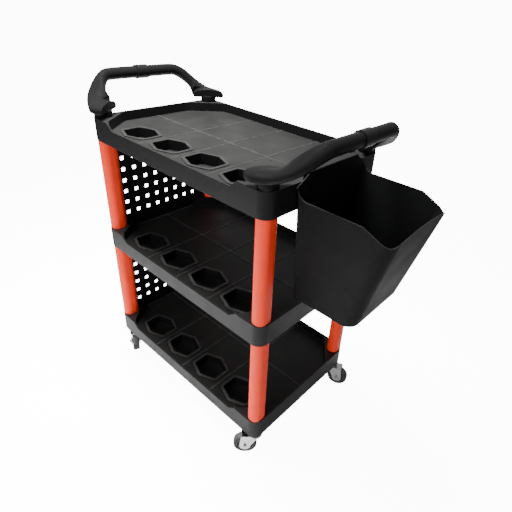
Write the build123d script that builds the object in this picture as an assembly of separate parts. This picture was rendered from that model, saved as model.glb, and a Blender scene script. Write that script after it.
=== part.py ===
from build123d import *
import math
import os

# A rolling utility cart: three moulded trays on eight moulded posts, a handle on each short end,
# four swivel casters and a lift-off waste bin. Millimetres, +Z up, the floor at Z = 0.
# +X runs along the trays to the end that carries the bin, and the low tray lips face -Y.

# ---- trays
tray_length = 750.0
tray_width = 472.0
tray_height = 70.0
tray_corner_r = 32.0
tray_wall = 5.0
shelf_pitch = 384.0
floor_top = 39.0          # above the tray's lower edge
floor_thick = 4.0
lip_drop = 20.0           # how far the front lip lies below the rim
lip_half = 255.0          # half length of the low lip
lip_ramp = 26.0           # run of the slope at each end of the lip
block_run_x = 85.0        # corner block, along the tray, inside the wall
block_run_y = 106.0       # corner block, across the tray, inside the wall
block_round = 40.0
block_wall = 4.0          # plateau, socket walls and inner wall of a corner block
rib_width = 6.0
rib_rise = 1.5
web_thick = 3.0           # stiffening webs under the floor
web_drop = 18.0
node_size = 17.0          # rounded diamonds where the floor ribs cross
node_round = 4.0
drain_r = 3.0
drain_x = 180.0
drain_y = -15.0

# ---- bottle pockets in each tray floor
pocket_pitch = 150.0
pocket_half_x = 52.0
pocket_half_y = 46.0
pocket_side_y = 27.0      # half length of the two short straight sides
pocket_depth = 29.0
pocket_wall = 3.0
pocket_row_y = -158.0
pocket_border = 10.0      # width of the raised border
pocket_rise = 3.0         # its height above the floor
pocket_round = 5.0

# ---- posts and the sockets that take them
post_x = 44.0
post_y = 53.0
post_round = 20.0
post_wall = 3.5
post_inset = 4.0          # from the tray's outer faces
plug_step = 3.0           # how much smaller the plug is than the post, on each side
plug_depth = 28.0
socket_extra = 2.0        # socket depth beyond the plug
socket_clear = 0.2

# ---- peg panels
peg_pitch = 40.0
peg_hole = 14.0
peg_hole_round = 1.5
peg_columns = 9
peg_rows = 7
panel_thick = 4.0
panel_in = 18.0           # from the tray's end to the panel's mid plane
panel_flange = 8.0
panel_clear = 0.5         # to the posts, each side
panel_pin_r = 4.0
panel_pin_length = 10.0
panel_pin_in = 17.0       # from the panel's edge to its pin
pin_clear = 0.15

# ---- handles
grip_r = 19.0
grip_beyond = 78.0        # from the tray's end to the grip's axis
grip_z = 171.0            # grip axis above the top tray's lower edge
grip_half = 120.0         # straight half of the grip
collar_r = 22.0
collar_half = 22.0
collar_round = 1.5
core_r = 8.0
core_half = 60.0
core_clear = 0.1
core_wall = 2.0
neck_rise = 17.0          # from the rim up to the foot's underside
foot_half = 54.0
foot_edge = 13.0          # height of the foot's rim
foot_height = 36.0
foot_in = 20.0            # foot, from the neck axis towards the tray's middle
foot_out = 15.0
foot_turn = 38.0          # turn of the foot's width away from the Y axis, degrees
# sections of an arm from the foot to the grip: share of the way out, share of the way in from
# the corner to the grip's end, share of the rise, heading, climb, half width and half height
arm_sections = (
    (0.00, 0.00, 0.00, foot_turn, 0, 42.0, 16.0),
    (0.24, 0.14, 0.08, 8, 20, 36.0, 18.0),
    (0.54, 0.20, 0.38, -32, 42, 29.0, 20.0),
    (0.86, 0.54, 0.82, -64, 26, 22.0, 20.0),
    (1.00, 1.00, 1.00, -90, 0, grip_r, grip_r),
)
screw_r = 3.0
screw_head_r = 6.0
screw_head = 3.5
screw_length = 34.0
screw_slot = 1.4
screw_slot_deep = 2.0

# ---- casters
tyre_r = 38.0
tyre_width = 25.0
tread_round = 5.0
core_wheel_r = 29.0
core_rim = 4.0
rim_inset = 1.0           # the core's rim is this much narrower than the tyre, each side
hub_r = 12.0
hub_web = 8.0
caster_trail = 32.0
axle_r = 4.0
axle_clear = 0.05
leg_gap = 1.6             # between wheel and fork leg
leg_thick = 2.5
leg_round = 18.0          # the leg's round end, about the axle
leg_front = 44.0          # how far the crown's plate and the legs' top edge run towards the wheel
leg_back = 12.0           # and the other way, from the kingpin
crown_gap = 4.0           # between tyre and crown
crown_thick = 3.0
crown_r = 22.0
race_gap = 0.3
race_thick = 5.7
race_r = 18.0
race_bore_r = 9.0
cup_thick = 4.0
cup_r = 20.0
plug_flange = 5.0
stem_r = 5.5
stem_clear = 0.05
stem_length = 26.0
kingpin_r = 5.0
kingpin_head_r = 8.0
kingpin_head = 3.0
kingpin_clear = 0.05
bolt_head_r = 6.5
bolt_head = 4.5
nut_r = 7.0
nut_height = 5.0
thread_out = 1.5
# directions in which the wheels trail at rest, degrees from +X
trail_angles = {"front_left": -26.8, "front_right": 222.2, "rear_left": 137.8, "rear_right": 21.2}

# ---- waste bin, hung on the rim of the +X end
bin_gap = 0.8             # between the bin's back and the tray
bin_y = 6.0               # where it hangs along the rim
bin_wall = 4.0
bin_depth = 334.0         # from the tray's rim down to the bin's underside
bin_base_reach = 194.0    # outer face at the bottom, from the tray's end
bin_mouth_reach = 263.0   # outer face at the mouth's corners, from the tray's end
bin_corner_drop = 67.0    # the mouth's corners, below the tray's rim
bin_arch_drop = 47.0      # top of the outer wall's arched edge, below the tray's rim
bin_side_drop = 36.5      # top of the side walls, below the tray's rim
bin_slope_reach = 186.0   # where a side wall's top starts to slope down
bin_shoulder_drop = 12.0  # top of a side wall where it meets the back
bin_shoulder_reach = 43.0
bin_shoulder_sag = 4.0    # how far a shoulder's curve dips below its chord
bin_base_half = 125.0
bin_mouth_half = 146.0
bin_round = 34.0
bin_corner_in = 10.0      # the corners' lowest point, in from the outer and side faces
bin_back_round = 14.0
hook_half = 105.0
hook_rise = 20.0          # top of the hook above the rim
hook_reach = 14.0         # from the back's outer face to the inner leg's far face
hook_end = 6.0            # height of the hook's square ends
hook_leg = 14.0           # how far the inner leg goes below the rim
hook_ribs = (-70.0, 0.0, 70.0)
hook_rib_thick = 5.0
hook_seat = 0.3
hook_round = 3.0

# ---- worked out
stack = 2 * tyre_r + crown_gap + crown_thick + race_gap + race_thick + cup_thick + plug_flange
tray_z = [stack, stack + shelf_pitch, stack + 2 * shelf_pitch]
post_height = shelf_pitch - tray_height
corner_x = tray_length / 2 - post_inset - post_x / 2
corner_y = tray_width / 2 - post_inset - post_y / 2
corners = {
    "front_left": (-corner_x, -corner_y),
    "front_right": (corner_x, -corner_y),
    "rear_left": (-corner_x, corner_y),
    "rear_right": (corner_x, corner_y),
}
rim_z = tray_z[2] + tray_height
panel_plane = tray_length / 2 - panel_in
grip_out = tray_length / 2 + grip_beyond
# the origin lies under the middle of the whole cart, bin included
cart_x = -(tray_length / 2 + bin_mouth_reach - grip_out - collar_r) / 2


def prism(dx, dy, radius, z0, z1):
    """A rounded rectangular prism about the Z axis."""
    return Pos(0, 0, z0) * extrude(RectangleRounded(dx, dy, radius), z1 - z0)


def tube(radius, z0, z1):
    """A cylinder about the Z axis from z0 to z1."""
    return Pos(0, 0, (z0 + z1) / 2) * Cylinder(radius, z1 - z0)


def plug(margin, z0, z1):
    """The reduced end of a post, grown by a margin."""
    dx = post_x - 2 * plug_step + 2 * margin
    dy = post_y - 2 * plug_step + 2 * margin
    return prism(dx, dy, post_round - plug_step + margin, z0, z1)


# ---------------------------------------------------------------- trays
def basin(z0, z1, grow=0.0):
    """The space inside the tray wall, cut off at the four corner blocks."""
    x = tray_length / 2 - tray_wall
    y = tray_width / 2 - tray_wall
    points = []
    for sx, sy in ((1, 1), (-1, 1), (-1, -1), (1, -1)):
        pair = [(sx * x, sy * (y - block_run_y)), (sx * (x - block_run_x), sy * y)]
        points += pair if sx * sy > 0 else pair[::-1]
    outline = make_face(Polyline(points, close=True))
    outline = fillet(outline.vertices(), block_round)
    if grow:
        outline = offset(outline, grow)
    return Pos(0, 0, z0) * extrude(outline, z1 - z0)


def block_cores():
    """The hollows under the corner blocks, round the sockets and the panel's pins."""
    top = tray_height - block_wall
    inside = tray_wall * 2
    cores = prism(tray_length - inside, tray_width - inside, tray_corner_r - tray_wall, -1, top)
    cores -= basin(-2, top + 1, block_wall)
    for x, y in corners.values():
        cores -= Pos(x, y, 0) * plug(block_wall + socket_clear, -2, top + 1)
    for side in (-1, 1):
        place = Pos(-panel_plane, side * panel_pin_y(), 0)
        cores -= place * tube(panel_pin_r + block_wall, -2, top + 1)
    return cores


def pocket(margin, z0, z1):
    """A six-sided bottle pocket, grown by a margin."""
    x = pocket_half_x + margin
    lean = math.atan2(pocket_half_x, pocket_half_y - pocket_side_y)
    y = pocket_half_y + margin / math.sin(lean)
    side = y - (pocket_half_y - pocket_side_y) * x / pocket_half_x
    points = [(x, side), (0, y), (-x, side), (-x, -side), (0, -y), (x, -side)]
    outline = make_face(Polyline(points, close=True))
    outline = fillet(outline.vertices(), pocket_round + max(margin, 0))
    return Pos(0, 0, z0) * extrude(outline, z1 - z0)


def lip_cut():
    """What is taken off the front wall to make the low lip."""
    low = tray_height - lip_drop
    over = tray_height + 1
    spread = lip_half + lip_ramp * (lip_drop + 1) / lip_drop
    points = [(-spread, over), (spread, over), (lip_half, low), (-lip_half, low)]
    face = Plane.XZ * make_face(Polyline(points, close=True))
    cut = extrude(face, tray_wall + 2)
    return Pos(0, -tray_width / 2 + tray_wall + 1, 0) * cut


def floor_ribs():
    """Raised lines on the floor, with a small diamond at each crossing."""
    bars = []
    for i in (-1, 0, 1):
        bars.append(Pos(i * pocket_pitch, 0) * Rectangle(rib_width, tray_width))
        diamond = Rot(0, 0, 45) * RectangleRounded(node_size, node_size, node_round)
        bars.append(Pos(i * pocket_pitch, 0) * diamond)
    bars.append(Rectangle(tray_length, rib_width))
    grid = bars[0]
    for bar in bars[1:]:
        grid += bar
    return Pos(0, 0, floor_top) * extrude(grid, rib_rise)


def floor_webs():
    """Stiffening webs under the floor."""
    under = floor_top - floor_thick
    webs = None
    for i in (-2, -1, 0, 1, 2):
        web = Pos(i * pocket_pitch, 0, under - web_drop / 2) * Box(web_thick, tray_width, web_drop)
        webs = web if webs is None else webs + web
    for y in (0, pocket_row_y + 2 * pocket_pitch):
        webs += Pos(0, y, under - web_drop / 2) * Box(tray_length, web_thick, web_drop)
    return webs


def tray():
    """One tray, its lower edge at Z = 0."""
    under = floor_top - floor_thick
    body = prism(tray_length, tray_width, tray_corner_r, 0, tray_height)
    body -= basin(floor_top, tray_height + 1)
    body -= basin(-1, under)
    body -= block_cores()
    body -= lip_cut()
    body += floor_ribs() & basin(floor_top - 1, tray_height)
    body += floor_webs() & basin(0, under + 1)
    for i in (-1.5, -0.5, 0.5, 1.5):
        place = Pos(i * pocket_pitch, pocket_row_y, 0)
        bottom = floor_top - pocket_depth
        body += place * pocket(pocket_border, floor_top - 1, floor_top + pocket_rise)
        body += place * pocket(pocket_wall, bottom - pocket_wall, floor_top)
        body -= place * pocket(0, bottom, floor_top + pocket_rise + 1)
    deep = plug_depth + socket_extra
    for x, y in corners.values():
        body -= Pos(x, y, 0) * plug(socket_clear, tray_height - deep, tray_height + 1)
        body -= Pos(x, y, 0) * plug(socket_clear, -1, deep)
        body -= Pos(x, y, 0) * tube(screw_r + socket_clear, 0, tray_height)
    panel_x = -panel_plane
    for side in (-1, 1):
        y = side * panel_pin_y()
        body -= Pos(panel_x, y, 0) * tube(panel_pin_r + pin_clear, -1, panel_pin_length + 1)
        top = tray_height - panel_pin_length - 1
        body -= Pos(panel_x, y, 0) * tube(panel_pin_r + pin_clear, top, tray_height + 1)
    body -= Pos(drain_x, drain_y, 0) * tube(drain_r, 0, tray_height)
    return body


# ---------------------------------------------------------------- posts
def post(z0, height):
    """A hollow post with a plug at each end; z0 is its lower shoulder."""
    body = prism(post_x, post_y, post_round, z0, z0 + height)
    body += plug(0, z0 - plug_depth, z0 + height + plug_depth)
    body -= plug(-post_wall, z0 - plug_depth - 1, z0 + height + plug_depth + 1)
    return body


# ---------------------------------------------------------------- peg panels
def panel_width():
    return 2 * (corner_y - post_y / 2 - panel_clear)


def panel_pin_y():
    return panel_width() / 2 - panel_pin_in


def peg_panel():
    """A panel with square peg holes, centred on its own middle; +X faces into the cart."""
    wide = panel_width()
    tall = post_height
    body = Box(panel_thick, wide, tall)
    depth = panel_thick / 2 + panel_flange
    rim = Pos(-depth / 2, 0, 0) * Box(depth, wide, tall)
    rim -= Pos(-depth / 2, 0, 0) * Box(depth + 1, wide - 2 * panel_thick, tall - 2 * panel_thick)
    body += rim
    hole = extrude(RectangleRounded(peg_hole, peg_hole, peg_hole_round), panel_thick / 2 + 1, both=True)
    hole = Rot(0, 90, 0) * hole
    places = []
    for row in range(peg_rows):
        for column in range(peg_columns):
            y = (column - (peg_columns - 1) / 2) * peg_pitch
            z = (row - (peg_rows - 1) / 2) * peg_pitch
            places.append(Pos(0, y, z) * hole)
    body -= places
    for side in (-1, 1):
        pin = Pos(0, side * panel_pin_y(), 0) * tube(panel_pin_r, 0, tall / 2 + panel_pin_length)
        pin -= Box(20, tray_width, tall - 2 * panel_thick)
        body += pin
        body += Rot(180, 0, 0) * pin
    return body


# ---------------------------------------------------------------- handles
# Each function here makes the rear right corner, and the others are mirrored from it.
def foot():
    """The mushroom-shaped foot and its neck, about the corner's socket axis."""
    z0 = rim_z + neck_rise
    arch = ThreePointArc((-foot_half, foot_edge), (0, foot_height), (foot_half, foot_edge))
    sides = Polyline((foot_half, foot_edge), (foot_half, 0), (-foot_half, 0), (-foot_half, foot_edge))
    profile = Plane.XZ * make_face([arch, sides])
    body = Pos(0, foot_in, z0) * extrude(profile, foot_in + foot_out)
    body = Rot(0, 0, 90 + foot_turn) * body
    neck = prism(post_x, post_y, post_round, rim_z, z0 + 1)
    neck += plug(0, rim_z - plug_depth, rim_z + 1)
    neck -= tube(screw_r, rim_z - plug_depth - 1, rim_z)
    return body + neck


def arm_section(x, y, z, heading, climb, half_wide, half_high):
    """An elliptical section of the arm; heading is in plan and climb is its slope, degrees."""
    a = math.radians(heading)
    b = math.radians(climb)
    along = Vector(math.cos(a) * math.cos(b), math.sin(a) * math.cos(b), math.sin(b))
    across = Vector(-math.sin(a), math.cos(a), 0)
    return Plane(origin=(x, y, z), x_dir=across, z_dir=along) * Ellipse(half_wide, half_high)


def arm():
    """The arm, from inside the foot round to the straight grip."""
    foot_z = rim_z + neck_rise + foot_height / 2
    rise = tray_z[2] + grip_z - foot_z
    run = grip_out - corner_x
    side = corner_y - grip_half
    sections = []
    for out, across, up, heading, climb, half_wide, half_high in arm_sections:
        x = corner_x + out * run
        y = corner_y - across * side
        z = foot_z + up * rise
        sections.append(arm_section(x, y, z, heading, climb, half_wide, half_high))
    return loft(sections)


def grip_bar(radius, y0, y1):
    """A round bar on the grip's axis."""
    bar = Rot(-90, 0, 0) * Cylinder(radius, y1 - y0)
    return Pos(grip_out, (y0 + y1) / 2, tray_z[2] + grip_z) * bar


def handle_half():
    """Foot, arm and half of the grip, bored for the core tube."""
    body = Pos(corner_x, corner_y, 0) * foot()
    body += arm()
    body += grip_bar(grip_r, 0, grip_half)
    body -= grip_bar(core_r + core_clear, -1, core_half)
    return body


def collar():
    """The raised band over the joint of the two halves."""
    ring = grip_bar(collar_r, -collar_half, collar_half)
    ring = fillet(ring.edges(), collar_round)
    return ring - grip_bar(grip_r + core_clear, -collar_half - 1, collar_half + 1)


def core():
    """The tube inside the grip that joins the two halves."""
    end = core_half - 1
    return grip_bar(core_r, -end, end) - grip_bar(core_r - core_wall, -core_half, core_half)


def handle_screw():
    """A screw up through the tray's web into a handle's neck."""
    z = rim_z - tray_height + plug_depth + socket_extra
    shank = tube(screw_r, z, z + screw_length)
    head = tube(screw_head_r, z - screw_head, z)
    slot = Pos(0, 0, z - screw_head) * Box(2 * screw_head_r, screw_slot, screw_slot_deep)
    return shank + head - slot


# ---------------------------------------------------------------- casters
# Each function here makes a caster about its stem, trailing towards +X.
crown_z = 2 * tyre_r + crown_gap
race_z = crown_z + crown_thick + race_gap
cup_z = race_z + race_thick
leg_in = tyre_width / 2 + leg_gap
leg_out = leg_in + leg_thick


def cross_bar(radius, y0, y1):
    """A round bar on the wheel's axle line."""
    bar = Rot(-90, 0, 0) * Cylinder(radius, y1 - y0)
    return Pos(caster_trail, (y0 + y1) / 2, tyre_r) * bar


def caster_plug():
    """The insert in the tray's corner socket that grips the stem."""
    body = prism(post_x, post_y, post_round, tray_z[0] - plug_flange, tray_z[0])
    body += plug(0, tray_z[0] - 1, tray_z[0] + plug_depth)
    bore_r = stem_r + stem_clear
    return body - tube(bore_r, tray_z[0] - plug_flange - 1, tray_z[0] + plug_depth + 1)


def caster_stem():
    """Stem, cup and riveted kingpin, one turned and pressed piece."""
    body = tube(cup_r, cup_z, cup_z + cup_thick)
    body += tube(stem_r, cup_z, tray_z[0] + stem_length)
    body += tube(kingpin_r, crown_z - race_gap - kingpin_head, cup_z + 1)
    body += tube(kingpin_head_r, crown_z - race_gap - kingpin_head, crown_z - race_gap)
    return body


def caster_bearing():
    """The swivel race between the cup and the fork's crown."""
    ring = tube(race_r, race_z, cup_z) - tube(race_bore_r, race_z - 1, cup_z + 1)
    return ring


def caster_fork():
    """The pressed steel fork: a round crown and two tapered legs."""
    body = tube(crown_r, crown_z, crown_z + crown_thick)
    plate = Pos((leg_front - leg_back) / 2, 0, crown_z + crown_thick / 2)
    body += plate * Box(leg_front + leg_back, 2 * leg_out, crown_thick)
    top = crown_z + crown_thick
    front = (caster_trail + leg_round, tyre_r)
    back = (caster_trail - leg_round, tyre_r)
    outline = make_face(Polyline((-leg_back, top), (leg_front, top), front, back, close=True))
    outline += Pos(caster_trail, tyre_r) * Circle(leg_round)
    leg = extrude(Plane.XZ * outline, leg_thick)
    body += Pos(0, leg_out, 0) * leg
    body += Pos(0, -leg_in, 0) * leg
    body -= tube(kingpin_r + kingpin_clear, crown_z - 1, top + 1)
    return body - cross_bar(axle_r, -leg_out - 1, leg_out + 1)


def hexagon(radius, y0, y1):
    """A hexagonal prism on the wheel's axle line."""
    body = extrude(Plane.XZ * RegularPolygon(radius, 6), y1 - y0)
    return Pos(caster_trail, y1, tyre_r) * body


def caster_axle():
    """The axle bolt, its head on the +Y leg."""
    shank = cross_bar(axle_r, -leg_out - nut_height - thread_out, leg_out + 1)
    return shank + hexagon(bolt_head_r, leg_out, leg_out + bolt_head)


def caster_nut():
    nut = hexagon(nut_r, -leg_out - nut_height, -leg_out)
    return nut - cross_bar(axle_r, -leg_out - nut_height - 1, -leg_out + 1)


def caster_wheel():
    """The wheel's core: hub, web and rim."""
    hub_half = leg_in - race_gap
    rim_half = tyre_width / 2 - rim_inset
    body = cross_bar(hub_r, -hub_half, hub_half)
    body += cross_bar(core_wheel_r, -rim_half, rim_half)
    dish = cross_bar(core_wheel_r - core_rim, hub_web / 2, rim_half + 1)
    dish += cross_bar(core_wheel_r - core_rim, -rim_half - 1, -hub_web / 2)
    dish -= cross_bar(hub_r, -rim_half - 2, rim_half + 2)
    body -= dish
    return body - cross_bar(axle_r + axle_clear, -hub_half - 1, hub_half + 1)


def caster_tyre():
    """The soft tread on the wheel's core."""
    half = tyre_width / 2
    ring = cross_bar(tyre_r, -half, half)
    ring = fillet(ring.edges(), tread_round)
    return ring - cross_bar(core_wheel_r, -half - 1, half + 1)


# ---------------------------------------------------------------- waste bin
tray_end = tray_length / 2
back_out = tray_end + bin_gap
back_in = back_out + bin_wall


def bin_reach(drop):
    """The bin's outer face at a drop below the rim."""
    share = (bin_depth - drop) / (bin_depth - bin_corner_drop)
    return tray_end + bin_base_reach + share * (bin_mouth_reach - bin_base_reach)


def bin_half(drop):
    """Half the bin's width at a drop below the rim."""
    share = (bin_depth - drop) / (bin_depth - bin_side_drop)
    return bin_base_half + share * (bin_mouth_half - bin_base_half)


def bin_section(drop, inset):
    """A horizontal section of the bin, shrunk by an inset."""
    x0 = back_out + inset
    x1 = bin_reach(drop) - inset
    half = bin_half(drop) - inset
    outline = Pos((x0 + x1) / 2, 0) * Rectangle(x1 - x0, 2 * half)
    ends = outline.vertices().sort_by(Axis.X)
    outline = fillet(ends[2:], bin_round - inset)
    ends = outline.vertices().sort_by(Axis.X)
    outline = fillet(ends[:2], bin_back_round - inset)
    return Pos(0, 0, rim_z - drop) * outline


def bin_taper(bottom_drop, top_drop, inset):
    """The bin's tapered body between two heights."""
    return loft([bin_section(bottom_drop, inset), bin_section(top_drop, inset)], ruled=True)


def bin_trim():
    """What is taken off above the side walls and the arched edge of the outer wall."""
    slope_x = tray_end + bin_slope_reach
    fall = (bin_corner_drop - bin_side_drop) / (bin_mouth_reach - bin_corner_in - bin_slope_reach)
    far_x = slope_x + 2 * (bin_mouth_reach - bin_slope_reach)
    far_z = -bin_side_drop - (far_x - slope_x) * fall
    over = 2 * hook_rise
    start = (back_in, -bin_shoulder_drop)
    level = (tray_end + bin_shoulder_reach, -bin_side_drop)
    knee = ((start[0] + level[0]) / 2 - bin_shoulder_sag, level[1] + bin_shoulder_sag)
    rest = [level, (slope_x, level[1]), (far_x, far_z), (far_x, over), (back_in, over), start]
    sides = Plane.XZ * make_face([ThreePointArc(start, knee, level), Polyline(rest)])
    wide = bin_mouth_half - bin_corner_in
    arch = ThreePointArc((-wide, -bin_corner_drop), (0, -bin_arch_drop), (wide, -bin_corner_drop))
    out = 2 * bin_mouth_half
    above = [(wide, -bin_corner_drop), (out, -bin_corner_drop), (out, over), (-out, over)]
    above += [(-out, -bin_corner_drop), (-wide, -bin_corner_drop)]
    front = Plane.YZ * make_face([arch, Polyline(above)])
    cut = extrude(sides, out, both=True) & extrude(front, tray_length)
    return Pos(0, 0, rim_z) * cut


def bin_back():
    """The back's raised top, with its sloping shoulders."""
    wide = bin_half(bin_shoulder_drop)
    left = [(-wide, -bin_shoulder_drop), (-hook_half, hook_rise - hook_end), (-hook_half, hook_rise)]
    right = [(-y, z) for y, z in reversed(left)]
    face = Plane.YZ * make_face(Polyline(left + right, close=True))
    return Pos(back_out, 0, rim_z) * extrude(face, bin_wall)


def bin_hook():
    """The lip that hangs over the rim, with the ribs that rest on it."""
    x0 = back_out - hook_reach
    top = Pos((x0 + back_in) / 2, 0, rim_z + hook_rise - bin_wall / 2)
    body = top * Box(back_in - x0, 2 * hook_half, bin_wall)
    tall = hook_rise + hook_leg
    leg = Pos(x0 + bin_wall / 2, 0, rim_z + hook_rise - tall / 2)
    body += leg * Box(bin_wall, 2 * hook_half, tall)
    for y in hook_ribs:
        high = hook_rise - hook_seat
        rib = Pos((x0 + back_in) / 2, y, rim_z + hook_seat + high / 2)
        body += rib * Box(back_in - x0, hook_rib_thick, high)
    return body


def waste_bin():
    body = bin_taper(bin_depth, bin_shoulder_drop, 0)
    body -= bin_taper(bin_depth - bin_wall, bin_shoulder_drop - 1, bin_wall)
    body -= bin_trim()
    body += bin_back()
    body += bin_hook()
    top = body.edges().filter_by(Axis.Y).group_by(Axis.Z)[-1]
    return fillet(top, hook_round)


# ---------------------------------------------------------------- the whole cart
def save(shape, name):
    """Write one node, with the cart's middle moved to its place in the model's frame."""
    export_step(Pos(cart_x, 0, 0) * shape, f"parts/{name}.step")


def save_frame():
    """Trays, posts and peg panels."""
    one_tray = tray()
    for name, z in zip(("bottom_tray", "middle_tray", "top_tray"), tray_z):
        save(Pos(0, 0, z) * one_tray, name)
    for level, name in enumerate(("lower", "upper")):
        one_post = post(tray_z[level] + tray_height, post_height)
        for corner, (x, y) in corners.items():
            save(Pos(x, y, 0) * one_post, f"post_{name}_{corner}")
        middle = tray_z[level] + tray_height + post_height / 2
        save(Pos(-panel_plane, 0, middle) * peg_panel(), f"peg_panel_{name}")


def save_handles():
    """Two halves, a collar and a core tube at each end, and their four screws."""
    half = handle_half()
    front = mirror(half, Plane.XZ)
    sides = {
        "right": {"rear": half, "front": front, "collar": collar(), "core": core()},
    }
    sides["left"] = {name: mirror(piece, Plane.YZ) for name, piece in sides["right"].items()}
    for side, pieces in sides.items():
        for name, piece in pieces.items():
            save(piece, f"handle_{side}_{name}")
    save(Compound([Pos(x, y, 0) * handle_screw() for x, y in corners.values()]), "handle_screws")


def save_casters():
    """Four casters, each turned to the way it trails."""
    pieces = {
        "plug": caster_plug(),
        "stem": caster_stem(),
        "bearing": caster_bearing(),
        "fork": caster_fork(),
        "axle": caster_axle(),
        "nut": caster_nut(),
        "wheel": caster_wheel(),
        "tyre": caster_tyre(),
    }
    for corner, (x, y) in corners.items():
        turned = Pos(x, y, 0) * Rot(0, 0, trail_angles[corner])
        for name, piece in pieces.items():
            place = Pos(x, y, 0) if name == "plug" else turned
            save(place * piece, f"caster_{corner}_{name}")


if __name__ == "__main__":
    os.makedirs("parts", exist_ok=True)
    save_frame()
    save_handles()
    save_casters()
    save(Pos(0, bin_y, 0) * waste_bin(), "bin")
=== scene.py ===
import math
import bmesh
import bpy
from mathutils import Matrix, Vector


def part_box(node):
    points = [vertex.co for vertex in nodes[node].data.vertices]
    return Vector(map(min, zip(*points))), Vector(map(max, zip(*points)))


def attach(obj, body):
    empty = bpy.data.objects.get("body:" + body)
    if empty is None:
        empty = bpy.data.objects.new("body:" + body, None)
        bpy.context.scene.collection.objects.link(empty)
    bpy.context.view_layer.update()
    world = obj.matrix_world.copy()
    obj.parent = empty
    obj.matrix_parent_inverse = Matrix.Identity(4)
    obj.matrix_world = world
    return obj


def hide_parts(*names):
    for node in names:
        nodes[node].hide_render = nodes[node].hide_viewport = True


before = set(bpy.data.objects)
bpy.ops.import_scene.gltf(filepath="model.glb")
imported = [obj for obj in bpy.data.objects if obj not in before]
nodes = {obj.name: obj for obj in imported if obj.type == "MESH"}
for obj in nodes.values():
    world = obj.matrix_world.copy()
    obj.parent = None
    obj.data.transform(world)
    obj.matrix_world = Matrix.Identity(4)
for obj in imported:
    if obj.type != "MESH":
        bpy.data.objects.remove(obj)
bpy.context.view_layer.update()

scene = bpy.context.scene

# ------------------------------------------------------------------ camera
# It stands off the front right corner of the cart, a little above the handles, tipped down.
# Its place is measured from the middle of the bottom tray's underside.
low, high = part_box("bottom_tray")
tray_foot = Vector(((low[0] + high[0]) / 2, (low[1] + high[1]) / 2, low[2]))
yaw, pitch, roll = (math.radians(angle) for angle in (37.78, 29.90, 5.25))
level_right = Vector((math.cos(yaw), math.sin(yaw), 0))
forward = Vector((-math.sin(yaw) * math.cos(pitch), math.cos(yaw) * math.cos(pitch), -math.sin(pitch)))
level_up = level_right.cross(forward)
rolled_right = level_right * math.cos(roll) + level_up * math.sin(roll)
rolled_up = level_up * math.cos(roll) - level_right * math.sin(roll)
camera_data = bpy.data.cameras.new("camera")
camera_data.sensor_width = 36
camera_data.lens = 29.95
camera_data.shift_x = -0.0760
camera_data.shift_y = -0.0362
camera = bpy.data.objects.new("camera", camera_data)
camera_turn = Matrix((rolled_right, rolled_up, -forward)).transposed().to_4x4()
camera.matrix_world = Matrix.Translation(tray_foot + Vector((0.9355, -0.8494, 1.2164))) @ camera_turn
scene.collection.objects.link(camera)
scene.camera = camera

# ------------------------------------------------------------------ trays
# Three identical mouldings in black polypropylene, each with a ribbed floor, four bottle pockets,
# a low front lip and a socket block at every corner. The mould leaves a fine spark-eroded texture
# and slightly round corners. Handling polishes the corners, and pale dust settles on the floors.


def node_group(name, inputs, outputs):
    """An empty shader group with named sockets; returns the group and its two end nodes."""
    group = bpy.data.node_groups.new(name, "ShaderNodeTree")
    for label, kind, value in inputs:
        socket = group.interface.new_socket(label, in_out="INPUT", socket_type=kind)
        socket.default_value = value
    for label, kind in outputs:
        group.interface.new_socket(label, in_out="OUTPUT", socket_type=kind)
    return group, group.nodes.new("NodeGroupInput"), group.nodes.new("NodeGroupOutput")


def add(tree, kind, settings=None, **sockets):
    """A node with its settings, and its sockets set to numbers or linked from other sockets."""
    made = tree.nodes.new(kind)
    for key, value in (settings or {}).items():
        setattr(made, key, value)
    for key, value in sockets.items():
        socket = made.inputs[int(key[1:])] if key[1:].isdigit() else made.inputs[key.replace("_", " ")]
        if isinstance(value, bpy.types.NodeSocket):
            tree.links.new(value, socket)
        else:
            socket.default_value = value
    return made


def noise(tree, place, scale, detail=3.0, rough=0.55):
    made = add(tree, "ShaderNodeTexNoise", Vector=place, Scale=scale, Detail=detail, Roughness=rough)
    return made.outputs["Fac"]


def math_node(tree, operation, a, b=0.0, clamp=False):
    made = add(tree, "ShaderNodeMath", {"operation": operation, "use_clamp": clamp}, _0=a, _1=b)
    return made.outputs[0]


def ramp(tree, value, from_low, from_high, to_low=0.0, to_high=1.0):
    made = add(
        tree, "ShaderNodeMapRange", {"clamp": True},
        _0=value, _1=from_low, _2=from_high, _3=to_low, _4=to_high,
    )
    return made.outputs[0]


def object_place(tree):
    return add(tree, "ShaderNodeTexCoord").outputs["Object"]


def part_of(tree, vector, axis):
    return add(tree, "ShaderNodeSeparateXYZ", _0=vector).outputs[axis]


def facing_up(tree):
    """How far a surface faces up: 1 where it is level, 0 where it is upright."""
    return part_of(tree, add(tree, "ShaderNodeNewGeometry").outputs["Normal"], "Z")


# Worn corners: the surface direction is compared with the one a rounded corner would have.
worn, ends, out = node_group(
    "worn corners",
    [("Radius", "NodeSocketFloat", 0.002), ("Patchiness", "NodeSocketFloat", 60.0)],
    [("Mask", "NodeSocketFloat")],
)
place = object_place(worn)
rounded = add(worn, "ShaderNodeBevel", {"samples": 4}, Radius=ends.outputs["Radius"]).outputs[0]
flat = add(worn, "ShaderNodeNewGeometry").outputs["Normal"]
same = add(worn, "ShaderNodeVectorMath", {"operation": "DOT_PRODUCT"}, _0=rounded, _1=flat).outputs["Value"]
corner = ramp(worn, same, 0.995, 0.80)
patch = ramp(worn, noise(worn, place, ends.outputs["Patchiness"]), 0.38, 0.62, 0.25, 1.0)
worn.links.new(math_node(worn, "MULTIPLY", corner, patch), out.inputs["Mask"])

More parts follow.
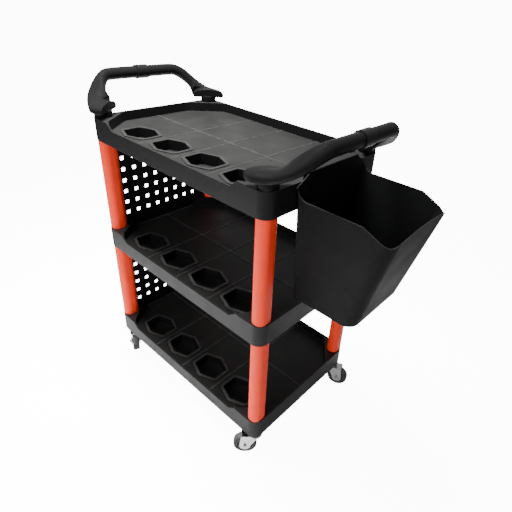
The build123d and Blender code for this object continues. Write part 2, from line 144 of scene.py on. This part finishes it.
# Moulded grain: a fine pebbled texture for the bump, and broad uneven gloss for the roughness.
grain, ends, out = node_group(
    "moulded grain",
    [("Pebble Scale", "NodeSocketFloat", 900.0), ("Sheen Scale", "NodeSocketFloat", 9.0)],
    [("Height", "NodeSocketFloat"), ("Gloss", "NodeSocketFloat")],
)
place = object_place(grain)
pebble_scale = ends.outputs["Pebble Scale"]
pebble = add(grain, "ShaderNodeTexVoronoi", Vector=place, Scale=pebble_scale).outputs["Distance"]
fine = noise(grain, place, pebble_scale, 2.0)
height = math_node(grain, "ADD", math_node(grain, "MULTIPLY", pebble, 0.6), fine)
grain.links.new(height, out.inputs["Height"])
broad = noise(grain, place, ends.outputs["Sheen Scale"], 5.0, 0.6)
grain.links.new(ramp(grain, broad, 0.3, 0.7), out.inputs["Gloss"])

# Settled dust: pale film on faces that look up, thin and uneven.
dust, ends, out = node_group(
    "settled dust",
    [("Scale", "NodeSocketFloat", 14.0)],
    [("Mask", "NodeSocketFloat")],
)
cloud = noise(dust, object_place(dust), ends.outputs["Scale"], 6.0, 0.65)
cloud = ramp(dust, cloud, 0.30, 0.75, 0.45, 1.0)
film = math_node(dust, "MULTIPLY", ramp(dust, facing_up(dust), 0.4, 1.0), cloud)
dust.links.new(film, out.inputs["Mask"])


def group_node(tree, group, **values):
    made = tree.nodes.new("ShaderNodeGroup")
    made.node_tree = group
    for key, value in values.items():
        made.inputs[key.replace("_", " ")].default_value = value
    return made


def new_material(name):
    material = bpy.data.materials.new(name)
    material.use_nodes = True
    return material, material.node_tree, material.node_tree.nodes["Principled BSDF"]


def blend_colour(tree, share, first, second):
    made = tree.nodes.new("ShaderNodeMix")
    made.data_type = "RGBA"
    for label, value in (("Factor", share), ("A", first), ("B", second)):
        socket = made.inputs[label]
        if isinstance(value, bpy.types.NodeSocket):
            tree.links.new(value, socket)
        elif isinstance(value, tuple):
            socket.default_value = (*value, 1.0)
        else:
            socket.default_value = value
    return made.outputs["Result"]


def overlay_colour(tree, share, colour):
    """Blend a colour over whatever already feeds the shader's base colour."""
    base = tree.nodes["Principled BSDF"].inputs["Base Color"]
    tree.links.new(blend_colour(tree, share, base.links[0].from_socket, colour), base)


def moulded_plastic(
    name, colour, worn_colour, dust_colour, gloss=(0.38, 0.52), pebble=900.0, bump=0.10, dusty=0.3, shine=0.2
):
    """Moulded polypropylene: grain, uneven gloss, rubbed corners and a film of dust."""
    material, tree, shader = new_material(name)
    surface = group_node(tree, grain, Pebble_Scale=pebble)
    edges = group_node(tree, worn)
    film = group_node(tree, dust)
    rubbed = blend_colour(tree, edges.outputs["Mask"], colour, worn_colour)
    dusted = blend_colour(tree, math_node(tree, "MULTIPLY", film.outputs["Mask"], dusty), rubbed, dust_colour)
    tree.links.new(dusted, shader.inputs["Base Color"])
    rough = ramp(tree, surface.outputs["Gloss"], 0.0, 1.0, *gloss)
    dulled = math_node(tree, "MULTIPLY", film.outputs["Mask"], 0.15 * dusty)
    rough = math_node(tree, "ADD", rough, dulled, True)
    tree.links.new(rough, shader.inputs["Roughness"])
    shader.inputs["Specular IOR Level"].default_value = shine
    relief = add(tree, "ShaderNodeBump", Strength=bump, Distance=0.0003, Height=surface.outputs["Height"])
    tree.links.new(relief.outputs["Normal"], shader.inputs["Normal"])
    return material


def plastic_black(name, worn_colour=(0.026, 0.027, 0.027), **changes):
    """The black that the trays, panels, handles, collars and caster inserts share."""
    return moulded_plastic(name, (0.0068, 0.0068, 0.0071), worn_colour, (0.028, 0.028, 0.0265), **changes)


def moulded_copy(node, radius):
    """A copy of a part with its corners broken to a small radius."""
    mould = bmesh.new()
    mould.from_mesh(nodes[node].data)
    bmesh.ops.remove_doubles(mould, verts=mould.verts, dist=1e-5)
    flat, sharp = math.radians(1), math.radians(32)
    bmesh.ops.dissolve_limit(mould, angle_limit=flat, verts=mould.verts, edges=mould.edges)
    corners = [e for e in mould.edges if len(e.link_faces) == 2 and e.calc_face_angle() > sharp]
    bmesh.ops.bevel(
        mould, geom=corners, offset=radius, offset_type="OFFSET", segments=3, profile=0.5,
        affect="EDGES", clamp_overlap=False, material=-1,
    )
    bmesh.ops.remove_doubles(mould, verts=mould.verts, dist=1e-6)
    return mould


def finish_piece(name, mould, material, body, stands_for, soft_levels=0):
    """Turn a modelled mesh into a piece of the cart, in place of the CAD node it stands for."""
    mesh = bpy.data.meshes.new(name)
    mould.to_mesh(mesh)
    mould.free()
    mesh.polygons.foreach_set("use_smooth", [True] * len(mesh.polygons))
    mesh.materials.append(material)
    piece = bpy.data.objects.new(name, mesh)
    scene.collection.objects.link(piece)
    if soft_levels:
        softened = piece.modifiers.new("softened form", "SUBSURF")
        softened.levels = softened.render_levels = soft_levels
    else:
        mesh.set_sharp_from_angle(angle=math.radians(40))
        piece.modifiers.new("even corners", "WEIGHTED_NORMAL").keep_sharp = True
    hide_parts(stands_for)
    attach(piece, body)


def stand_in(node, radius, material, body, made="moulded"):
    """Replace a CAD node with a copy of it that has broken corners."""
    finish_piece(f"{made}_{node}", moulded_copy(node, radius), material, body, node)


tray_material = plastic_black("black tray moulding", (0.050, 0.052, 0.048), gloss=(0.38, 0.50), dusty=0.6)
# Paler crests: the ribs and pocket borders are painted a little paler. This is partly rubbed wear
# from what slides over a floor and partly a painted highlight where light catches their tops. The
# paint is weaker on the top tray.
tray_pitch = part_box("middle_tray")[0][2] - low[2]
# heights above a tray's lower edge, between which a crest fades in and out
crest_foot, crest_low, crest_high, crest_end = 0.0395, 0.0403, 0.0430, 0.0440
tree = tray_material.node_tree
place = object_place(tree)
height = math_node(tree, "SUBTRACT", part_of(tree, place, "Z"), low[2])
top_share = ramp(tree, height, 1.9 * tray_pitch, 2 * tray_pitch, 1.0, 0.3)
height = math_node(tree, "MODULO", height, tray_pitch)
crest = ramp(tree, height, crest_foot, crest_low)
for share in (
    ramp(tree, height, crest_end, crest_high),
    ramp(tree, facing_up(tree), 0.5, 0.9),
    ramp(tree, noise(tree, place, 30.0), 0.35, 0.65, 0.5, 1.0),
    top_share,
):
    crest = math_node(tree, "MULTIPLY", crest, share)
# paints the crests paler: part rubbed wear, part painted highlight
overlay_colour(tree, crest, (0.045, 0.046, 0.045))
for name in ("bottom_tray", "middle_tray", "top_tray"):
    stand_in(name, 0.0012, tray_material, "frame")

# ------------------------------------------------------------------ posts
# Eight hollow posts in orange-red polypropylene. A reduced plug at each end is pushed into a socket
# block, so only the smooth rounded length between two trays shows.
post_material = moulded_plastic(
    "orange post moulding", (0.97, 0.056, 0.020), (0.97, 0.12, 0.06), (0.88, 0.14, 0.08),
    gloss=(0.36, 0.48), pebble=1100.0, bump=0.05, dusty=0.2, shine=0.12,
)
corners = ("front_left", "front_right", "rear_left", "rear_right")
for corner_name in corners:
    for level in ("lower", "upper"):
        stand_in(f"post_{level}_{corner_name}", 0.001, post_material, "frame")

# ------------------------------------------------------------------ peg panels
# Two flat panels with square holes for hooks, between the posts of the left end, each with a
# stiffening flange round its outer side.
panel_material = plastic_black("black panel moulding", gloss=(0.40, 0.54))
for level in ("lower", "upper"):
    stand_in("peg_panel_" + level, 0.0006, panel_material, "frame")

# ------------------------------------------------------------------ handles
# Each end has a tubular handle in black polypropylene, moulded in two halves. A broad domed foot
# stands over the corner on a short neck pushed into the socket block, and an arm sweeps up from it
# to a round grip with a pebbled surface. The halves meet inside a smooth collar, on a steel tube.
tray_low, tray_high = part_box("top_tray")
post_low, post_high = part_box("post_upper_rear_right")
collar_low, collar_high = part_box("handle_right_collar")
cart_middle_x = (tray_low[0] + tray_high[0]) / 2
post_middle = Vector(((post_low[0] + post_high[0]) / 2, (post_low[1] + post_high[1]) / 2, 0))
grip_height = (collar_low[2] + collar_high[2]) / 2
rim = tray_high[2]
neck_rise = 0.017
neck_overlap = 0.004       # how far the neck runs up into the foot
neck_round = 0.020
neck_reach = 0.036         # from the post's middle to just beyond the neck's corners
plug_inset = 0.003
plug_depth = 0.028
foot_edge = 0.011          # height of the foot's upright rim
end_rim = 0.0015           # narrow ring round each end of the arm, which keeps its edge crisp
# x and y from the post's middle, height above the rim, heading and climb in degrees, half width,
# half height, how much of the foot's arched section is left, and how far the arm's crest leans to
# the inner side, as a share of the half width
arm_sections = (
    (-0.0158, -0.0123, 0.0305, 38, 0, 0.0540, 0.0135, 1.00, 0.00),
    (-0.0142, -0.0111, 0.0305, 38, 0, 0.0540, 0.0135, 1.00, 0.00),
    (0.0095, 0.0074, 0.0308, 34, 4, 0.0520, 0.0140, 1.00, 0.10),
    (0.0250, -0.0070, 0.0340, 12, 18, 0.0430, 0.0165, 0.75, 0.40),
    (0.0425, -0.0105, 0.0430, -10, 32, 0.0335, 0.0180, 0.50, 0.55),
    (0.0610, -0.0190, 0.0575, -34, 42, 0.0270, 0.0185, 0.30, 0.60),
    (0.0782, -0.0352, 0.0745, -52, 38, 0.0232, 0.0188, 0.15, 0.50),
    (0.0915, -0.0525, 0.0890, -68, 26, 0.0210, 0.0190, 0.05, 0.30),
    (0.1000, -0.0700, 0.0985, -80, 12, 0.0196, 0.0191, 0.00, 0.10),
    (0.1040, -0.0855, 0.1010, -90, 0, 0.0190, 0.0190, 0.00, 0.00),
    (0.1040, -0.1400, 0.1010, -90, 0, 0.0190, 0.0190, 0.00, 0.00),
    (0.1040, -0.2055, 0.1010, -90, 0, 0.0190, 0.0190, 0.00, 0.00),
)


def arm_ring(ring, unit, section):
    """Move a ring of the arm to one of its sections: a domed arch at the foot, a circle at the grip."""
    x, y, z, heading, climb, half_wide, half_high, arch, lean = section
    turn, slope = math.radians(heading), math.radians(climb)
    along = Vector((math.cos(turn) * math.cos(slope), math.sin(turn) * math.cos(slope), math.sin(slope)))
    across = Vector((-math.sin(turn), math.cos(turn), 0))
    lifted = along.cross(across)
    centre = post_middle + Vector((x, y, z + rim))
    for spot in ring:
        side, lift = spot[unit].x, spot[unit].y
        square = max(abs(side), abs(lift))
        if lift > 0:
            domed = Vector((side * half_wide, foot_edge + (2 * half_high - foot_edge) * lift - half_high))
        else:
            domed = Vector((side / square * half_wide, foot_edge * (1 + lift / square) - half_high))
        flat = Vector((side * half_wide, lift * half_high)).lerp(domed, arch)
        flat.x -= lean * half_wide * max(lift, 0) ** 2
        spot.co = centre + across * flat.x + lifted * flat.y


def handle_corner(mirror_x, mirror_y):
    """One half of a handle: modelled over the rear right corner, then mirrored to its own."""
    mould = bmesh.new()
    unit = mould.verts.layers.float_vector.new("round the arm")
    crease = mould.edges.layers.float.new("crease_edge")
    ring = bmesh.ops.create_circle(mould, segments=32, radius=1.0)["verts"]
    for spot in ring:
        spot[unit] = spot.co
    run = list(dict.fromkeys(edge for spot in ring for edge in spot.link_edges))
    first_run = run
    arm_ring(ring, unit, arm_sections[0])
    for section in arm_sections[1:]:
        grown = bmesh.ops.extrude_edge_only(mould, edges=run)["geom"]
        ring = {part for part in grown if isinstance(part, bmesh.types.BMVert)}
        run = [part for part in grown if isinstance(part, bmesh.types.BMEdge) and ring.issuperset(part.verts)]
        arm_ring(ring, unit, section)
    for end in (first_run, run):
        face = bmesh.ops.edgeloop_fill(mould, edges=end)["faces"]
        bmesh.ops.inset_region(mould, faces=face, thickness=end_rim)
    neck_tall = neck_rise + neck_overlap
    shape = Matrix.Diagonal((post_high[0] - post_low[0], post_high[1] - post_low[1], neck_tall, 1))
    place = Matrix.Translation(post_middle + Vector((0, 0, rim + neck_tall / 2)))
    neck = bmesh.ops.create_cube(mould, size=1.0, matrix=place @ shape)["verts"]
    neck_edges = dict.fromkeys(edge for vert in neck for edge in vert.link_edges)
    upright = [e for e in neck_edges if abs(e.verts[0].co.z - e.verts[1].co.z) > neck_tall / 2]
    rounded = bmesh.ops.bevel(
        mould, geom=upright, offset=neck_round, offset_type="OFFSET", segments=8, profile=0.5,
        affect="EDGES", clamp_overlap=False, material=-1,
    )
    neck_faces = dict.fromkeys(face for vert in rounded["verts"] for face in vert.link_faces)
    under = [face for face in neck_faces if face.normal.z < -0.9]
    bmesh.ops.inset_region(mould, faces=under, thickness=plug_inset)
    tip = bmesh.ops.extrude_face_region(mould, geom=under)["geom"]
    tip = [part for part in tip if isinstance(part, bmesh.types.BMVert)]
    bmesh.ops.delete(mould, geom=under, context="FACES")
    bmesh.ops.translate(mould, verts=tip, vec=(0, 0, -plug_depth))
    just_above = rim + neck_tall + 0.0005
    on_neck = set()
    for vert in mould.verts:
        aside = (vert.co.xy - post_middle.xy).length
        if vert.co.z < just_above and aside < neck_reach and vert[unit].length == 0:
            on_neck.add(vert)
    for edge in mould.edges:
        if on_neck.issuperset(edge.verts):
            edge[crease] = 1.0
    flip = Matrix.Diagonal((-1 if mirror_x else 1, -1 if mirror_y else 1, 1, 1))
    about = Matrix.Translation((cart_middle_x, 0, 0))
    bmesh.ops.transform(mould, matrix=about @ flip @ about.inverted(), verts=mould.verts)
    bmesh.ops.remove_doubles(mould, verts=mould.verts, dist=1e-5)
    bmesh.ops.recalc_face_normals(mould, faces=mould.faces)
    return mould


handle_material = plastic_black(
    "black handle moulding", gloss=(0.32, 0.44), bump=0.04, dusty=0.05, shine=0.14,
)
# The grip's pebbles: a coarse cell pattern that fades out where the arm starts, 112 to 122 mm from
# the cart's middle plane and 22 to 26 mm off the grip's axis.
tree = handle_material.node_tree
place = object_place(tree)
on_grip = ramp(tree, math_node(tree, "ABSOLUTE", part_of(tree, place, "Y")), 0.122, 0.112)
off_axis = math_node(tree, "SUBTRACT", part_of(tree, place, "Z"), grip_height)
off_axis = math_node(tree, "ABSOLUTE", off_axis)
on_grip = math_node(tree, "MULTIPLY", on_grip, ramp(tree, off_axis, 0.026, 0.022))
cells = add(tree, "ShaderNodeTexVoronoi", Vector=place, Scale=260.0).outputs["Distance"]
pebbles = math_node(tree, "MULTIPLY", ramp(tree, cells, 0.15, 0.6, 1.0, 0.0), on_grip)
shader = tree.nodes["Principled BSDF"]
under_relief = shader.inputs["Normal"].links[0].from_socket
relief = add(tree, "ShaderNodeBump", Strength=0.28, Distance=0.0006, Height=pebbles, Normal=under_relief)
tree.links.new(relief.outputs["Normal"], shader.inputs["Normal"])
for side in ("left", "right"):
    for half in ("front", "rear"):
        name = f"handle_{side}_{half}"
        mould = handle_corner(side == "left", half == "front")
        finish_piece(
            "moulded_" + name, mould, handle_material, "frame", name, soft_levels=2,
        )

# ------------------------------------------------------------------ collars, tubes and screws
# A smooth black collar covers each handle's joint, and a bare drawn steel tube runs inside it. The
# screws that come up through the tray's corner webs into the necks are zinc plated.
collar_material = plastic_black(
    "black collar moulding", gloss=(0.26, 0.36), pebble=1600.0, bump=0.04, dusty=0.2,
)


def plated_steel(name, colour, gloss, spangle, tarnish):
    """Bright plate or bare steel: a faint crystal pattern, uneven gloss and dull grime in patches."""
    material, tree, shader = new_material(name)
    place = object_place(tree)
    crystals = add(tree, "ShaderNodeTexVoronoi", Vector=place, Scale=spangle).outputs["Color"]
    crystals = math_node(tree, "MULTIPLY", part_of(tree, crystals, "X"), 0.35)
    streaks = noise(tree, place, 42.0, 5.0, 0.65)
    grime = ramp(tree, noise(tree, place, 95.0, 6.0, 0.7), 0.52, 0.74)
    edges = group_node(tree, worn, Radius=0.0012, Patchiness=180.0)
    bright = blend_colour(tree, crystals, colour, tuple(0.88 * part for part in colour))
    dulled = blend_colour(tree, math_node(tree, "MULTIPLY", grime, tarnish), bright, (0.24, 0.23, 0.21))
    rubbed = blend_colour(tree, edges.outputs["Mask"], dulled, (0.92, 0.92, 0.93))
    tree.links.new(rubbed, shader.inputs["Base Color"])
    rough = ramp(tree, streaks, 0.3, 0.7, *gloss)
    rough = math_node(tree, "ADD", rough, math_node(tree, "MULTIPLY", grime, 0.22), True)
    tree.links.new(rough, shader.inputs["Roughness"])
    tree.links.new(ramp(tree, grime, 0.0, 1.0, 1.0, 1.0 - tarnish), shader.inputs["Metallic"])
    relief = add(tree, "ShaderNodeBump", Strength=0.08, Distance=0.0002, Height=streaks)
    tree.links.new(relief.outputs["Normal"], shader.inputs["Normal"])
    return material


def refinish(node, material):
    """Give a CAD node that keeps its own shape its finish."""
    nodes[node].data.materials.clear()
    nodes[node].data.materials.append(material)


screw_material = plated_steel("zinc plated screws", (0.62, 0.63, 0.65), (0.26, 0.40), 700.0, 0.3)
tube_material = plated_steel("drawn steel tube", (0.55, 0.55, 0.56), (0.30, 0.45), 300.0, 0.2)
for side in ("left", "right"):
    stand_in(f"handle_{side}_collar", 0.0004, collar_material, "frame")
    refinish(f"handle_{side}_core", tube_material)
refinish("handle_screws", screw_material)

# ------------------------------------------------------------------ casters
# Four swivel casters. A nylon insert in the tray's socket holds the stem, a pressed fork in bright
# zinc plate turns under it on a ball race, and a bolt through the fork carries a dark
# polypropylene wheel with a grey rubber tread.
fork_material = plated_steel("bright zinc fork", (0.80, 0.81, 0.83), (0.20, 0.36), 420.0, 0.35)
race_material = plated_steel("zinc plated race", (0.60, 0.60, 0.62), (0.26, 0.42), 600.0, 0.4)
insert_material = plastic_black("black nylon insert", gloss=(0.30, 0.42), pebble=1500.0, bump=0.04, dusty=0.1)
wheel_material = moulded_plastic(
    "dark grey wheel moulding", (0.060, 0.060, 0.064), (0.13, 0.13, 0.135), (0.16, 0.155, 0.145),
    gloss=(0.38, 0.55), pebble=1400.0, bump=0.08, dusty=0.7,
)
tread_material = moulded_plastic(
    "rubber tread", (0.040, 0.040, 0.042), (0.10, 0.098, 0.095), (0.20, 0.19, 0.175),
    gloss=(0.62, 0.85), pebble=700.0, bump=0.16, dusty=0.8,
)
# Floor dirt and scuffs picked up by the tread, in streaks over its whole width.
tree = tread_material.node_tree
scuffs = noise(tree, object_place(tree), 130.0, 7.0, 0.75)
overlay_colour(tree, ramp(tree, scuffs, 0.48, 0.66, 0.0, 0.6), (0.16, 0.155, 0.145))
for corner_name in corners:
    caster = "caster_" + corner_name
    fork_body = "fork_" + corner_name
    wheel_body = "wheel_" + corner_name
    stand_in(caster + "_fork", 0.0005, fork_material, fork_body, made="pressed")
    stand_in(caster + "_wheel", 0.0007, wheel_material, wheel_body)
    stand_in(caster + "_tyre", 0.0008, tread_material, wheel_body)
    stand_in(caster + "_plug", 0.0006, insert_material, "frame")
    refinish(caster + "_stem", fork_material)
    refinish(caster + "_bearing", race_material)
    refinish(caster + "_axle", screw_material)
    refinish(caster + "_nut", screw_material)

# ------------------------------------------------------------------ waste bin
# A tapered bin in black polypropylene with softly rounded corners, hung by its hook over the rim
# of the top tray at the right end. Its thin walls are a little waxy. Its edges are painted pale,
# partly rubbed wear and partly a painted highlight along its rims.
bin_material = moulded_plastic(
    "black bin moulding", (0.0075, 0.0075, 0.0078), (0.060, 0.061, 0.058), (0.045, 0.044, 0.042),
    gloss=(0.50, 0.64), pebble=800.0, bump=0.08, dusty=0.3, shine=0.08,
)
stand_in("bin", 0.0010, bin_material, "waste_bin")

# ------------------------------------------------------------------ floor and light
# A plain pale floor that the camera sees evenly white, under a soft light that makes a pool round the
# cart. The sheen of a broad panel behind lies on the top tray, a front light brings out the posts,
# and a fill reaches the back.
camera_white = 12.0        # strength of the floor and the sky as the camera sees them
sky_light = 0.22           # and the light that the sky gives
floor_mould = bmesh.new()
bmesh.ops.create_grid(floor_mould, x_segments=1, y_segments=1, size=8.0)
floor_mesh = bpy.data.meshes.new("floor")
floor_mould.to_mesh(floor_mesh)
floor_mould.free()
floor_mesh.transform(Matrix.Translation((0, 0, -0.0005)))
floor_material, tree, shader = new_material("pale floor")
mottle = noise(tree, object_place(tree), 3.0, 4.0)
mottle = blend_colour(tree, mottle, (0.86, 0.86, 0.86), (0.90, 0.90, 0.90))
tree.links.new(mottle, shader.inputs["Base Color"])
shader.inputs["Roughness"].default_value = 0.9
shader.inputs["Specular IOR Level"].default_value = 0.2
shader.inputs["Emission Color"].default_value = (1, 1, 1, 1)
seen = add(tree, "ShaderNodeLightPath").outputs["Is Camera Ray"]
tree.links.new(math_node(tree, "MULTIPLY", seen, camera_white), shader.inputs["Emission Strength"])
floor_mesh.materials.append(floor_material)
floor = bpy.data.objects.new("floor", floor_mesh)
scene.collection.objects.link(floor)

world = bpy.data.worlds.new("studio")
scene.world = world
world.use_nodes = True
tree = world.node_tree
background = tree.nodes["Background"]
background.inputs["Color"].default_value = (1, 1, 1, 1)
seen = add(tree, "ShaderNodeLightPath").outputs["Is Camera Ray"]
tree.links.new(ramp(tree, seen, 0.0, 1.0, sky_light, camera_white), background.inputs["Strength"])


def soft_box(name, place, aim, size, power, spread=180, sheen=True):
    data = bpy.data.lights.new(name, "AREA")
    data.shape = "DISK"
    data.size = size
    data.energy = power
    data.spread = math.radians(spread)
    lamp = bpy.data.objects.new(name, data)
    lamp.location = place
    lamp.rotation_euler = (Vector(aim) - Vector(place)).to_track_quat("-Z", "Y").to_euler()
    lamp.visible_camera = False
    lamp.visible_glossy = sheen
    scene.collection.objects.link(lamp)


soft_box("overhead", (-0.35, -0.15, 2.6), (-0.35, -0.15, 0), 1.0, 57, 80, sheen=False)
soft_box("back", (-1.8, 2.6, 1.6), (0, 0, 0.9), 3.0, 8)
soft_box("front", (0.5, -2.4, 1.6), (0, 0, 0.5), 1.6, 53, sheen=False)
soft_box("rear fill", (-1.7, 2.1, 1.3), (0, 0, 0.5), 1.6, 30, sheen=False)
